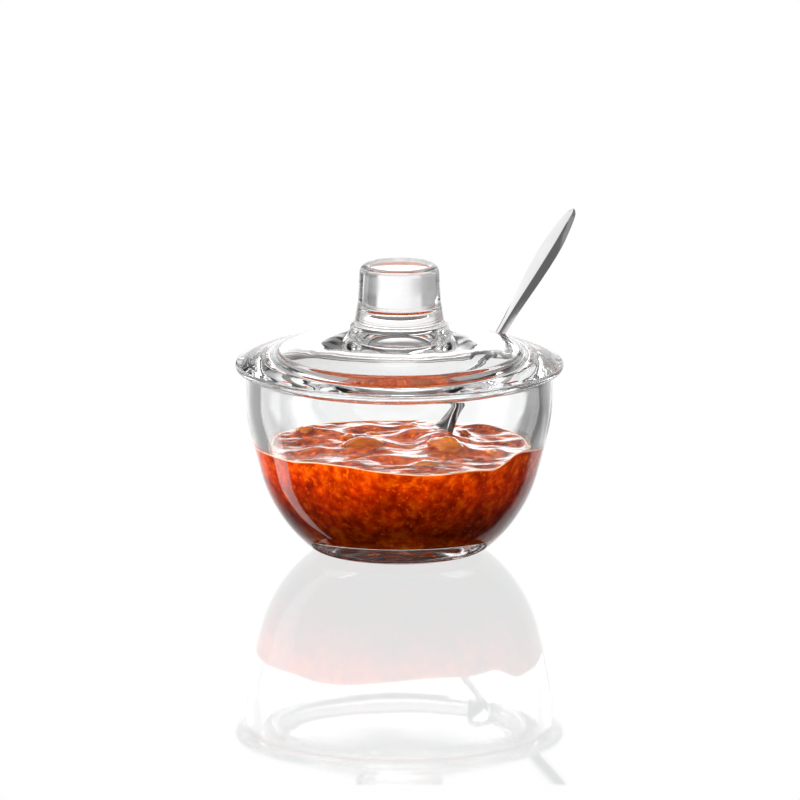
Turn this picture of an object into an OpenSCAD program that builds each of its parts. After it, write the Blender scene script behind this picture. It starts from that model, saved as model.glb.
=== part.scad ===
// Jam pot of clear pressed glass: a round bowl, a domed lid with a knob and a slot for the spoon,
// a steel spoon that stands in the jam, and the jam with its pieces of fruit.
// The pot stands on Z = 0 with its axis along Z. The spoon leans back and to the right, to +X +Y.

/* [Bowl] */
// Outside radius of the upright collar
bowl_collar_r = 51.5; // [49:0.1:54]
// How far the round lower part stays inside the collar's radius
bowl_belly_in = 3.5; // [2.5:0.1:4.5]
// How much of the round part is cut away below by the table
bowl_round_cut = 8.9; // [8:0.1:9.8]
// Depth below the centre of the round part at which the straight flare starts
bowl_flare_drop = 12.1; // [10.5:0.1:14]
// Radius of the bend from the flare into the collar
bowl_bend_r = 44; // [36:1:52]
// Height of the upright collar above that bend
bowl_collar_h = 9.6; // [7.5:0.1:13]
// Thickness of the glass wall
bowl_wall = 4.65; // [4:0.05:5.4]
// Thickness of the floor
bowl_floor = 8.6; // [7.6:0.1:9.6]
// Rounding of the rim on the outside, as a share of the wall
rim_out_share = 0.32; // [0.2:0.01:0.4]
// Rounding of the rim on the inside, as a share of the wall
rim_in_share = 0.54; // [0.35:0.01:0.58]

/* [Base ring] */
// How far the flat ring's outer edge lies inside the circle where the round part would meet the table
base_ring_in = 3.35; // [2.8:0.05:5]
// Width of the flat ring that the pot stands on
base_ring_w = 4.5; // [3.5:0.1:6]
// Depth of the hollow inside that ring at its middle
base_hollow_depth = 1.2; // [0.6:0.1:1.6]
// How far the flat part of the inside floor reaches out past the ring's outer edge
bowl_floor_out = 2; // [0:0.1:2.6]

/* [Lid] */
// How far the lid's edge stands out beyond the bowl's collar
lid_overhang = 3.5; // [2:0.1:5]
// Thickness of the lid at its edge
lid_edge_t = 2.2; // [1.8:0.1:3]
// Rounding of the lid's edge, as a share of that thickness
lid_edge_round_share = 0.52; // [0.3:0.01:0.54]
// Distance from the lid's edge in to the ridge where the dome starts
lid_shoulder_in = 8.1; // [6.8:0.1:9.6]
// Height of that ridge above the bowl's rim
lid_shoulder_h = 5.35; // [4.6:0.05:6.2]
// Height of the dome above the bowl's rim, at the foot of the knob
lid_dome_h = 15.2; // [13:0.1:17]
// Thickness of the glass at the middle of the dome
lid_dome_t = 5; // [4.2:0.1:6]
// Height of the dome's inside above the bowl's rim, where it meets the locating ring
lid_hollow_edge_h = 3.2; // [2.6:0.1:3.6]
// Rounding where the inside of the dome meets the locating ring
lid_hollow_round = 2.4; // [1.5:0.1:2.8]
// Rounding of the knob's waist and of the dome's ridge
lid_soft_round = 12; // [4:1:16]

/* [Knob] */
// Radius of the knob's waist, where its foot begins to flare
knob_waist_r = 13.85; // [12:0.05:15]
// How much narrower the knob is near its top
knob_taper = 0.55; // [0.2:0.05:1.5]
// How far its foot flares out where it meets the dome
knob_flare = 1.35; // [0.8:0.05:2]
// Height of the knob above the dome
knob_rise = 20.5; // [17:0.1:24]
// Height of the flare above the dome
knob_flare_h = 8.2; // [6.5:0.1:10]
// Rounding of the knob's top edge
knob_round = 2.8; // [1.5:0.1:3.5]
// Rounding between the knob's foot and the dome
knob_foot_round = 3.4; // [2:0.1:4]

/* [Locating ring under the lid] */
// Play between the locating ring and the bowl's mouth, all round
lid_play = 1.65; // [0.8:0.05:2]
// How far the ring hangs into the bowl
skirt_drop = 2.9; // [2.4:0.1:3.6]
// How far the ring draws in from its root to its lower edge
skirt_lean = 1.9; // [1.4:0.1:2.4]
// Thickness of the ring at its lower edge
skirt_t = 2.8; // [2.2:0.1:3.4]
// Rounding of the ring's lower edge, as a share of that thickness
skirt_round_share = 0.44; // [0.3:0.01:0.5]

/* [Spoon slot in the lid] */
// Width of the slot
slot_w = 13.4; // [12.6:0.1:15]
// How far the slot's round end reaches in past the locating ring
slot_in = 2.3; // [1.8:0.1:5]
// Direction of the slot, in degrees from +X towards +Y
slot_azimuth = 47.2; // [0:0.1:360]

/* [Spoon] */
// Length of the spoon
spoon_l = 139; // [133:0.5:150]
// Width of the spoon's bowl
spoon_bowl_w = 28; // [24:0.5:30]
// Depth of the hollow in the spoon's bowl
spoon_cup = 6; // [4:0.1:7]
// Thickness of the metal in the spoon's bowl
spoon_t = 1.5; // [1:0.1:2]
// Width of the neck
spoon_neck_w = 4.4; // [3.8:0.1:5]
// Width of the leaf-shaped end of the handle
spoon_leaf_w = 8.6; // [7:0.1:10]
// Thickness of the handle from its back to its ridge
spoon_handle_t = 3.6; // [2.8:0.1:4.2]
// Distance of the spoon's axis from the slot's inner end, at the height of the bowl's rim
spoon_in_slot = 6; // [5.5:0.1:6.8]
// Distance of the spoon's axis from the slot's middle line, at the same height
spoon_off_slot = 1; // [0:0.05:1.2]
// Distance of the spoon's tip from the middle of the floor
spoon_tip_out = 15.2; // [13:0.1:18]
// Direction of the tip, as the turn past the slot's direction, in degrees
spoon_tip_turn = 204.2; // [196:0.1:208]
// Height of the tip's middle above the bowl's floor
spoon_tip_h = 1.3; // [1.2:0.1:2]

/* [Jam] */
// Depth of the jam above the bowl's floor
jam_depth = 26.5; // [24:0.1:28]
// Height of the tallest lump over the jam's level
jam_lump_h = 3.2; // [2:0.1:4.2]
// Gap between the jam and the glass
jam_gap = 0.08; // [0.05:0.01:0.2]
// Gap between the jam and the spoon
jam_spoon_gap = 0.3; // [0.2:0.05:0.5]
// Half of the length of the largest piece of fruit
fruit_r = 8; // [6:0.1:9]
// Gap between a piece of fruit and the jam around it
fruit_gap = 0.12; // [0.05:0.01:0.2]

/* [Hidden] */
$fn = 96;
// Overrun of every cut past the face that it opens
overrun = 1;
// Turn of each step along a small rounding, in degrees
small_turn = 15;
// Turn of each step along a large rounding, in degrees
large_turn = 4;
// Radius from which a rounding counts as large
large_round = 10;
glass = [0.86, 0.9, 0.9, 0.35];
steel = [0.72, 0.72, 0.74];
jam_red = [0.62, 0.13, 0.03];
fruit_orange = [0.86, 0.36, 0.12];

// The bowl's outline: a sphere, a straight flare tangent to it, a bend and an upright collar
bowl_round_r = bowl_collar_r - bowl_belly_in;
bowl_round_h = bowl_round_r - bowl_round_cut;
flare_lean = asin(bowl_flare_drop / bowl_round_r);
flare_foot_r = bowl_round_r * cos(flare_lean);
flare_top_h = bowl_round_h - bowl_flare_drop + (bowl_collar_r - flare_foot_r) / tan(flare_lean);
bend_c = [bowl_collar_r - bowl_bend_r, flare_top_h + bowl_bend_r * tan(flare_lean / 2)];
bowl_h = bend_c.y + bowl_collar_h;
mouth_r = bowl_collar_r - bowl_wall;
base_ring_r = sqrt(bowl_round_r * bowl_round_r - bowl_round_h * bowl_round_h) - base_ring_in;
bowl_floor_r = base_ring_r + bowl_floor_out;

// The lid's outline, with heights above the bowl's rim
lid_r = bowl_collar_r + lid_overhang;
shoulder = [lid_r - lid_shoulder_in, lid_shoulder_h];
skirt_root_r = mouth_r - lid_play;
skirt_edge_r = skirt_root_r - skirt_lean;
skirt_inner_r = skirt_edge_r - skirt_t;
knob_foot_r = knob_waist_r + knob_flare;
slot_inner_r = skirt_inner_r - slot_in;

// The spoon's frame: its tip, its axis, its width direction and the direction that its hollow faces
tip_azimuth = slot_azimuth + spoon_tip_turn;
spoon_tip = concat(spoon_tip_out * turned(tip_azimuth), bowl_floor + spoon_tip_h);
slot_point = (slot_inner_r + spoon_in_slot) * turned(slot_azimuth)
    - spoon_off_slot * turned(slot_azimuth + 90);
spoon_run = concat(slot_point, bowl_h) - spoon_tip;
spoon_axis = spoon_run / norm(spoon_run);
spoon_side = unit([-spoon_axis.y, spoon_axis.x, 0]);
spoon_face = cross(spoon_axis, spoon_side);

// Outline of the spoon from tip to end: share of its length, then shares of the widths of its bowl,
// its neck and its leaf that add up to the width there
spoon_width_shares = [
    [0, 0.1, 0, 0], [0.01, 0.34, 0, 0], [0.044, 0.66, 0, 0], [0.089, 0.89, 0, 0], [0.146, 1, 0, 0],
    [0.204, 0.9, 0, 0], [0.257, 0.6, 0, 0], [0.312, 0.14, 1, 0], [0.384, 0.02, 1, 0], [0.47, 0, 1, 0],
    [0.598, 0, 0.98, 0], [0.654, 0, 0.5, 0.29], [0.697, 0, 0, 0.64], [0.788, 0, 0, 0.9], [0.852, 0, 0, 1],
    [0.894, 0, 0, 0.98], [0.926, 0, 0, 0.86], [0.958, 0, 0, 0.7], [0.979, 0, 0, 0.55],
    [0.991, 0, 0, 0.38], [1, 0, 0, 0.14]];
// Along the same length: shares of the bowl's depth and metal, and of the handle's thickness in front
// of and behind its middle
spoon_depth_shares = [
    [0, 0, 0.5, 0, 0.05], [0.044, 0.5, 1, 0, 0], [0.106, 0.92, 1, 0, 0], [0.16, 1, 1, 0, 0],
    [0.213, 0.8, 1, 0, 0], [0.266, 0.32, 1, 0.05, 0.1], [0.31, 0.06, 0.6, 0.25, 0.3],
    [0.355, 0, 0.3, 0.4, 0.42], [0.47, 0, 0, 0.48, 0.46], [0.841, 0, 0, 0.56, 0.44],
    [0.947, 0, 0, 0.42, 0.36], [1, 0, 0, 0.12, 0.12]];
spoon_rings = 44;
spoon_sides = 10;
// Share of the spoon's length that the jam makes room for, and how many sections that takes
spoon_sunk_share = 0.5;
spoon_sunk_rings = 36;
// How sharply the ridge of the handle stands up, from 1 for a knife edge to 2 for a round
ridge_power = 1.3;

// Lumps of the jam's top: places and widths as shares of the bowl's mouth, heights as shares of the tallest
jam_lump_shares = [
    [0.3, 0.2, 0.2, 1], [0.1, 0.38, 0.16, 0.5], [-0.26, 0.02, 0.24, 0.45], [-0.6, 0.3, 0.18, 0.5],
    [-0.1, -0.36, 0.2, 0.2], [-0.46, -0.4, 0.2, 0.26], [0.34, -0.2, 0.2, 0.65], [0.64, -0.06, 0.16, 0.3],
    [0.56, 0.5, 0.2, 0.35], [-0.24, 0.62, 0.2, 0.4]];
jam_rings = 14;
jam_sectors = 40;
// Pieces of fruit at the top of the jam: places as shares of the bowl's mouth, size as a share of the
// largest, and depth of the middle below the jam's top as a share of that size
fruit_shares = [
    [-0.24, -0.11, 1, 0.1], [0.34, -0.2, 0.85, 0.1], [0.18, -0.58, 0.75, 0.2], [-0.36, 0.17, 0.4, 0.1],
    [-0.2, 0.36, 0.42, 0.1], [-0.68, 0.32, 0.5, 0.1], [0.46, 0.26, 0.4, 0.15], [0.66, -0.28, 0.5, 0.2],
    [-0.62, -0.22, 0.6, 0.35], [0.08, 0.66, 0.55, 0.2], [-0.3, -0.62, 0.6, 0.35]];
// How far each piece is tipped, and turned from the one before, in degrees
fruit_tip = 12;
fruit_turn = 137.5;
// The three half axes of a piece as shares of its size, and the rise of its dents as a share of it
fruit_axis_shares = [1, 0.8, 0.5];
fruit_dent_share = 0.13;
fruit_rings = 6;
fruit_sectors = 11;

function turned(angle) = [cos(angle), sin(angle)];
function unit(v) = v / norm(v);

// Radius of the arc that joins a circle of radius r to a flat h below its middle, from flat_r outwards
function corner_radius(r, h, flat_r) = (r * r - h * h - flat_r * flat_r) / (2 * (r - h));

// Radius of a ball whose cap is as wide and as high as given
function cap_radius(half_w, rise) = (half_w * half_w + rise * rise) / (2 * rise);

// Points along an arc, without the first where another arc has just drawn it
function arc(centre, r, from, to, first = 0) =
    let(steps = ceil(abs(to - from) / (r < large_round ? small_turn : large_turn)))
    [for (i = [first:steps]) centre + r * turned(from + (to - from) * i / steps)];

// A closed outline from corners given as [x, y, rounding]
function rounded(corners) =
    let(count = len(corners))
    [for (i = [0:count - 1]) each fillet(corners[(i + count - 1) % count], corners[i], corners[(i + 1) % count])];
function flat(corner) = [corner.x, corner.y];
function fillet(before, corner, after) =
    let(
        back = unit(flat(before) - flat(corner)),
        on = unit(flat(after) - flat(corner)),
        half = acos(back * on) / 2,
        seat = corner.z / tan(half),
        centre = flat(corner) + unit(back + on) * corner.z / sin(half),
        start = flat(corner) + seat * back - centre,
        from = atan2(start.y, start.x),
        way = sign(on.x * back.y - on.y * back.x)
    )
    corner.z == 0 ? [flat(corner)] : arc(centre, corner.z, from, from + way * (180 - 2 * half));

// Smooth row of values at x from a table whose rows start with their own x
function row_before(table, x, i = 0) =
    i + 2 < len(table) && table[i + 1].x < x ? row_before(table, x, i + 1) : i;
function row_slope(table, i) =
    let(before = table[max(i - 1, 0)], after = table[min(i + 1, len(table) - 1)])
    (after - before) / (after.x - before.x);
function between(table, x) =
    let(
        i = row_before(table, x),
        step = table[i + 1].x - table[i].x,
        t = (x - table[i].x) / step
    )
    table[i] * (1 + 2 * t) * (1 - t) * (1 - t)
        + table[i + 1] * (3 - 2 * t) * t * t
        + row_slope(table, i) * step * t * (1 - t) * (1 - t)
        - row_slope(table, i + 1) * step * t * t * (1 - t);

// Height of the jam's top at a place
function jam_top(place) = bowl_floor + jam_depth + jam_lump_h * jam_lumps(place / mouth_r);
function jam_lumps(place_share) =
    [for (lump = jam_lump_shares) lump[3] * exp(-pow(norm(place_share - [lump.x, lump.y]) / lump.z, 2))]
    * [for (lump = jam_lump_shares) 1];

// Half of the bowl's outline, set in by inset: a rounded corner from flat_r, the round part, the flare
// and the bend, up to the foot of the collar
function vessel_outline(inset, floor_h, flat_r) =
    let(
        round_r = bowl_round_r - inset,
        round_c = [0, bowl_round_h],
        corner_r = corner_radius(round_r, bowl_round_h - floor_h, flat_r),
        corner_c = [flat_r, floor_h + corner_r],
        corner_turn = atan2(corner_c.y - bowl_round_h, corner_c.x)
    )
    concat(
        arc(corner_c, corner_r, -90, corner_turn),
        arc(round_c, round_r, corner_turn, -flare_lean, 1),
        arc(bend_c, bowl_bend_r - inset, -flare_lean, 0));

function reversed(points) = [for (i = [len(points) - 1:-1:0]) points[i]];

module bowl() {
    hollow_r = base_ring_r - base_ring_w;
    ball_r = cap_radius(hollow_r, base_hollow_depth);
    rim_out = rim_out_share * bowl_wall;
    rim_in = rim_in_share * bowl_wall;
    color(glass) rotate_extrude() polygon(concat(
        arc([0, base_hollow_depth - ball_r], ball_r, 90, acos(hollow_r / ball_r)),
        vessel_outline(0, 0, base_ring_r),
        arc([bowl_collar_r, bowl_h] - rim_out * [1, 1], rim_out, 0, 90),
        arc([mouth_r, bowl_h] + rim_in * [1, -1], rim_in, 90, 180),
        reversed(vessel_outline(bowl_wall, bowl_floor, bowl_floor_r)),
        [[0, bowl_floor]]));
}

// The lid's outline, with heights above the bowl's rim
module lid_outline() {
    hollow_h = lid_dome_h - lid_dome_t;
    hollow_r = cap_radius(skirt_inner_r, hollow_h - lid_hollow_edge_h);
    hollow_arc = arc([0, hollow_h - hollow_r], hollow_r, acos(skirt_inner_r / hollow_r), 90, 1);
    knob_top = lid_dome_h + knob_rise;
    edge_round = lid_edge_round_share * lid_edge_t;
    skirt_round = skirt_round_share * skirt_t;
    polygon(rounded([
        [0, knob_top, 0],
        [knob_waist_r - knob_taper, knob_top, knob_round],
        [knob_waist_r, lid_dome_h + knob_flare_h, lid_soft_round],
        [knob_foot_r, lid_dome_h, knob_foot_round],
        [shoulder.x, shoulder.y, lid_soft_round],
        [lid_r, lid_edge_t, edge_round],
        [lid_r, 0, edge_round],
        [skirt_root_r, 0, 0],
        [skirt_edge_r, -skirt_drop, skirt_round],
        [skirt_inner_r, -skirt_drop, skirt_round],
        [skirt_inner_r, lid_hollow_edge_h, lid_hollow_round],
        for (point = hollow_arc) concat(point, 0)]));
}

// The slot that the spoon stands in, open at the lid's edge
module lid_slot() {
    rotate(slot_azimuth) translate([slot_inner_r + slot_w / 2, 0, -skirt_drop - overrun])
        linear_extrude(lid_dome_h + skirt_drop + overrun) {
            circle(d = slot_w);
            translate([0, -slot_w / 2]) square([lid_r, slot_w]);
        }
}

module lid() {
    color(glass) translate([0, 0, bowl_h]) difference() {
        rotate_extrude() lid_outline();
        lid_slot();
    }
}

// One section of the spoon at a share of its length, grown on every side
function spoon_ring(share, grow, back_by) =
    let(
        widths = between(spoon_width_shares, share),
        depths = between(spoon_depth_shares, share),
        half_w = (widths[1] * spoon_bowl_w + widths[2] * spoon_neck_w + widths[3] * spoon_leaf_w) / 2,
        cup = depths[1] * spoon_cup,
        metal = depths[2] * spoon_t,
        ridge = depths[3] * spoon_handle_t,
        back = depths[4] * spoon_handle_t,
        centre = spoon_tip + spoon_axis * (share * spoon_l - back_by)
    )
    [for (k = [0:2 * spoon_sides - 1])
        let(
            at_edge = k % spoon_sides == 0,
            front = k < spoon_sides,
            u = sin(90 * (front ? 1 - 2 * k / spoon_sides : 2 * k / spoon_sides - 3)),
            bulge = 1 - u * u,
            face = at_edge ? grow
                : front ? ridge * (1 - pow(abs(u), ridge_power)) - cup * bulge + grow
                : -(cup + back) * bulge - metal * sqrt(bulge) - grow,
            reach = front && !at_edge ? half_w : half_w + grow
        )
        centre + spoon_side * (reach * u) + spoon_face * face];

// The spoon from its tip to a share of its length, grown on every side
module spoon_form(grow, reach_share, rings) {
    sides = 2 * spoon_sides;
    shares = [for (i = [0:rings]) reach_share * (1 - cos(180 * i / rings)) / 2];
    points = [for (i = [0:rings]) each spoon_ring(shares[i], grow, i == 0 ? grow : 0)];
    polyhedron(points, [
        [for (k = [0:sides - 1]) k],
        [for (k = [sides - 1:-1:0]) rings * sides + k],
        for (i = [0:rings - 1], k = [0:sides - 1])
            let(low = i * sides, next = (k + 1) % sides)
            each [[low + k, low + sides + k, low + sides + next], [low + k, low + sides + next, low + next]]]);
}

module spoon() {
    color(steel) spoon_form(0, 1, spoon_rings);
}

// Everything below the jam's lumpy top
module below_jam_top() {
    reach = bowl_collar_r / jam_rings;
    top = [[0, 0, jam_top([0, 0])],
        for (j = [1:jam_rings], k = [0:jam_sectors - 1])
            let(place = j * reach * turned(360 * k / jam_sectors))
            concat(place, jam_top(place))];
    base = len(top);
    foot = [[0, 0, 0], for (k = [0:jam_sectors - 1]) concat(bowl_collar_r * turned(360 * k / jam_sectors), 0)];
    rim = base - jam_sectors;
    polyhedron(concat(top, foot), [
        for (k = [0:jam_sectors - 1])
            let(next = (k + 1) % jam_sectors)
            each [
                [0, 1 + next, 1 + k],
                [base, base + 1 + k, base + 1 + next],
                [rim + k, rim + next, base + 1 + k],
                [rim + next, base + 1 + next, base + 1 + k]],
        for (j = [0:jam_rings - 2], k = [0:jam_sectors - 1])
            let(low = 1 + j * jam_sectors, next = (k + 1) % jam_sectors)
            each [
                [low + k, low + next, low + jam_sectors + k],
                [low + next, low + jam_sectors + next, low + jam_sectors + k]]]);
}

// A dented, rounded piece of fruit, grown on every side
module fruit_piece(size, phase, grow) {
    points = [for (j = [1:fruit_rings - 1], k = [0:fruit_sectors - 1])
        let(
            up = 180 * j / fruit_rings - 90,
            turn = 360 * k / fruit_sectors,
            dent = 1 + fruit_dent_share * cos(up) * (sin(2 * turn + phase) + sin(3 * turn - 2 * phase)),
            place = size * dent * [
                fruit_axis_shares.x * cos(up) * cos(turn),
                fruit_axis_shares.y * cos(up) * sin(turn),
                fruit_axis_shares.z * sin(up)]
        )
        place + grow * unit(place)];
    pole = [0, 0, size * fruit_axis_shares.z + grow];
    last = len(points) - fruit_sectors;
    polyhedron(concat(points, [-pole, pole]), [
        for (k = [0:fruit_sectors - 1])
            let(next = (k + 1) % fruit_sectors)
            each [[len(points), k, next], [len(points) + 1, last + next, last + k]],
        for (j = [0:fruit_rings - 3], k = [0:fruit_sectors - 1])
            let(low = j * fruit_sectors, high = low + fruit_sectors, next = (k + 1) % fruit_sectors)
            each [[low + k, high + k, high + next], [low + k, high + next, low + next]]]);
}

// All the pieces of fruit, tipped and turned each its own way, grown on every side
module fruit_forms(grow) {
    for (i = [0:len(fruit_shares) - 1]) {
        size = fruit_shares[i].z * fruit_r;
        place = flat(fruit_shares[i]) * mouth_r;
        translate(concat(place, jam_top(place) - fruit_shares[i][3] * size))
            rotate([fruit_tip * sin(i * fruit_turn), fruit_tip * cos(i * fruit_turn), i * fruit_turn])
                fruit_piece(size, i * fruit_turn, grow);
    }
}

module jam() {
    color(jam_red) difference() {
        intersection() {
            rotate_extrude() polygon(concat(
                [[0, bowl_floor + jam_gap]],
                vessel_outline(bowl_wall + jam_gap, bowl_floor + jam_gap, bowl_floor_r),
                [[mouth_r - jam_gap, bowl_h], [0, bowl_h]]));
            below_jam_top();
        }
        spoon_form(jam_spoon_gap, spoon_sunk_share, spoon_sunk_rings);
        fruit_forms(fruit_gap);
    }
}

module fruit_pieces() {
    color(fruit_orange) fruit_forms(0);
}

bowl();
jam();
fruit_pieces();
lid();
spoon();
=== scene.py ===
"""Looks of a glass jam pot: clear glass, jam with pieces of fruit and a polished spoon, on a pale floor."""

import math

import bmesh
import bpy
from mathutils import Matrix, Vector, noise


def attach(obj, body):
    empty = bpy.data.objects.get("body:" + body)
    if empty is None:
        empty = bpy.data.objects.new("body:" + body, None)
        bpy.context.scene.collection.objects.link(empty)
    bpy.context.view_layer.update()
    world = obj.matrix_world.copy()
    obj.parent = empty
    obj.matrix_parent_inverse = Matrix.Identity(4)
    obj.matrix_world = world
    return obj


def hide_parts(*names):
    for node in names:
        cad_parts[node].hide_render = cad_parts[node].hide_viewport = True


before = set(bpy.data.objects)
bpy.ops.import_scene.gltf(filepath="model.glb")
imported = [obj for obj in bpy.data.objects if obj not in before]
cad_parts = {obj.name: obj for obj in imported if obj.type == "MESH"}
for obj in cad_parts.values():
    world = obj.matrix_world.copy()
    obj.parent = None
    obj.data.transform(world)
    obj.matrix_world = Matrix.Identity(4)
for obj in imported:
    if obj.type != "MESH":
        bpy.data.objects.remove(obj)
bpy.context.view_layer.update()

# Without a seed, the waves of the glass would be others in each run
noise.seed_set(1)

MM = 0.001

# Sizes in millimetres, as in the part's source
BOWL = {
    "collar_r": 51.5, "belly_in": 3.5, "round_cut": 8.9, "flare_drop": 12.1, "bend_r": 44, "collar_h": 9.6,
    "wall": 4.65, "floor": 8.6, "rim_out": 0.32, "rim_in": 0.54,
    "ring_in": 3.35, "ring_w": 4.5, "hollow": 1.2, "floor_out": 2,
}
LID = {
    "overhang": 3.5, "edge_t": 2.2, "edge_round": 0.52, "shoulder_in": 8.1, "shoulder_h": 5.35, "dome_h": 15.2,
    "dome_t": 5, "hollow_edge_h": 3.2, "hollow_round": 2.4, "soft_round": 12, "play": 1.65,
    "skirt_drop": 2.9, "skirt_lean": 1.9, "skirt_t": 2.8, "skirt_round": 0.44,
}
KNOB = {"waist_r": 13.85, "taper": 0.55, "flare": 1.35, "rise": 20.5, "flare_h": 8.2, "round": 2.8, "foot_round": 3.4}
SLOT = {"w": 13.4, "in": 2.3, "azimuth": 47.2}

# Fineness of the meshes
OUTLINE_STEP = 1.1
ARC_STEP = 4
GLASS_SECTORS = 300
TINY = 1e-4
ON_AXIS = 1e-6
# How pressed glass is uneven: by how much, over what stretches, and which pattern
BOWL_WAVES = (0.12, 16, 3)
LID_WAVES = (0.08, 15, 8)


def turned(degrees):
    return Vector((math.cos(math.radians(degrees)), math.sin(math.radians(degrees))))


def arc(centre, r, start, end, skip_first=False):
    """Points along an arc in the plane, in steps of ARC_STEP degrees or of OUTLINE_STEP, the finer of both."""
    steps = math.ceil(max(abs(end - start) / ARC_STEP, math.radians(abs(end - start)) * r / OUTLINE_STEP, 1))
    return [Vector(centre) + r * turned(start + (end - start) * i / steps) for i in range(int(skip_first), steps + 1)]


def rounded(corners):
    """A closed outline from corners given as x, y and rounding."""
    points = []
    for i, (x, y, r) in enumerate(corners):
        corner = Vector((x, y))
        back = (Vector(corners[i - 1][:2]) - corner).normalized()
        on = (Vector(corners[(i + 1) % len(corners)][:2]) - corner).normalized()
        if r == 0:
            points.append(corner)
            continue
        half = math.acos(max(-1, min(1, back.dot(on)))) / 2
        centre = corner + (back + on).normalized() * r / math.sin(half)
        start = corner + back * r / math.tan(half) - centre
        angle = math.degrees(math.atan2(start.y, start.x))
        sweep = math.copysign(180 - 2 * math.degrees(half), on.x * back.y - on.y * back.x)
        points += arc(centre, r, angle, angle + sweep)
    return points


def refined(points):
    """The same outline with long straight stretches divided."""
    result = [points[0]]
    for a, b in zip(points, points[1:]):
        count = max(1, math.ceil((b - a).length / OUTLINE_STEP))
        if (b - a).length > TINY:
            result += [a.lerp(b, i / count) for i in range(1, count + 1)]
    return result


ROUND_R = BOWL["collar_r"] - BOWL["belly_in"]
ROUND_H = ROUND_R - BOWL["round_cut"]
FLARE_LEAN = math.degrees(math.asin(BOWL["flare_drop"] / ROUND_R))
FLARE_FOOT_R = ROUND_R * math.cos(math.radians(FLARE_LEAN))
FLARE_TOP_H = (ROUND_H - BOWL["flare_drop"]
               + (BOWL["collar_r"] - FLARE_FOOT_R) / math.tan(math.radians(FLARE_LEAN)))
BEND_C = Vector((BOWL["collar_r"] - BOWL["bend_r"],
                 FLARE_TOP_H + BOWL["bend_r"] * math.tan(math.radians(FLARE_LEAN / 2))))
BOWL_H = BEND_C.y + BOWL["collar_h"]
MOUTH_R = BOWL["collar_r"] - BOWL["wall"]
RING_R = math.sqrt(ROUND_R ** 2 - ROUND_H ** 2) - BOWL["ring_in"]
FLOOR_R = RING_R + BOWL["floor_out"]
LID_R = BOWL["collar_r"] + LID["overhang"]
SKIRT_R = MOUTH_R - LID["play"] - LID["skirt_lean"] - LID["skirt_t"]
SLOT_R = SKIRT_R - SLOT["in"]


def cap_radius(half_w, rise):
    """Radius of a ball whose cap is as wide and as high as given."""
    return (half_w ** 2 + rise ** 2) / (2 * rise)


def vessel(inset, floor_h, flat_r):
    """Half of the bowl's outline, set in by inset, from the rounded corner up to the collar's foot."""
    r, h = ROUND_R - inset, ROUND_H - floor_h
    corner_r = (r * r - h * h - flat_r * flat_r) / (2 * (r - h))
    corner_c = Vector((flat_r, floor_h + corner_r))
    turn = math.degrees(math.atan2(corner_c.y - ROUND_H, corner_c.x))
    return (arc(corner_c, corner_r, -90, turn)
            + arc((0, ROUND_H), r, turn, -FLARE_LEAN, True)
            + arc(BEND_C, BOWL["bend_r"] - inset, -FLARE_LEAN, 0))


def bowl_outline():
    hollow_r = RING_R - BOWL["ring_w"]
    ball_r = cap_radius(hollow_r, BOWL["hollow"])
    end = math.degrees(math.acos(hollow_r / ball_r))
    out, inn = BOWL["rim_out"] * BOWL["wall"], BOWL["rim_in"] * BOWL["wall"]
    return (arc((0, BOWL["hollow"] - ball_r), ball_r, 90, end)
            + vessel(0, 0, RING_R)
            + arc((BOWL["collar_r"] - out, BOWL_H - out), out, 0, 90)
            + arc((MOUTH_R + inn, BOWL_H - inn), inn, 90, 180)
            + vessel(BOWL["wall"], BOWL["floor"], FLOOR_R)[::-1]
            + [Vector((0, BOWL["floor"]))])


def lid_outline():
    """The lid's outline from the top of its axis to the hollow."""
    root_r = MOUTH_R - LID["play"]
    edge_r = root_r - LID["skirt_lean"]
    hollow_h = LID["dome_h"] - LID["dome_t"]
    hollow_r = cap_radius(SKIRT_R, hollow_h - LID["hollow_edge_h"])
    hollow_end = math.degrees(math.acos(SKIRT_R / hollow_r))
    knob_top = LID["dome_h"] + KNOB["rise"]
    edge_round = LID["edge_round"] * LID["edge_t"]
    skirt_round = LID["skirt_round"] * LID["skirt_t"]
    outline = rounded([
        (0, knob_top, 0),
        (KNOB["waist_r"] - KNOB["taper"], knob_top, KNOB["round"]),
        (KNOB["waist_r"], LID["dome_h"] + KNOB["flare_h"], LID["soft_round"]),
        (KNOB["waist_r"] + KNOB["flare"], LID["dome_h"], KNOB["foot_round"]),
        (LID_R - LID["shoulder_in"], LID["shoulder_h"], LID["soft_round"]),
        (LID_R, LID["edge_t"], edge_round),
        (LID_R, 0, edge_round),
        (root_r, 0, 0),
        (edge_r, -LID["skirt_drop"], skirt_round),
        (SKIRT_R, -LID["skirt_drop"], skirt_round),
        (SKIRT_R, LID["hollow_edge_h"], LID["hollow_round"]),
        *[(p.x, p.y, 0) for p in arc((0, hollow_h - hollow_r), hollow_r, hollow_end, 90, True)],
    ])
    return [Vector((p.x, p.y + BOWL_H)) for p in outline]


def finish_mesh(name, bm, material, sharp=40):
    """An object from a bmesh in millimetres, shaded smooth but for its sharp edges."""
    bmesh.ops.recalc_face_normals(bm, faces=bm.faces)
    bm.transform(Matrix.Scale(MM, 4))
    mesh = bpy.data.meshes.new(name)
    bm.to_mesh(mesh)
    bm.free()
    mesh.shade_smooth()
    mesh.set_sharp_from_angle(angle=math.radians(sharp))
    mesh.materials.append(material)
    obj = bpy.data.objects.new(name, mesh)
    bpy.context.scene.collection.objects.link(obj)
    return obj


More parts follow.
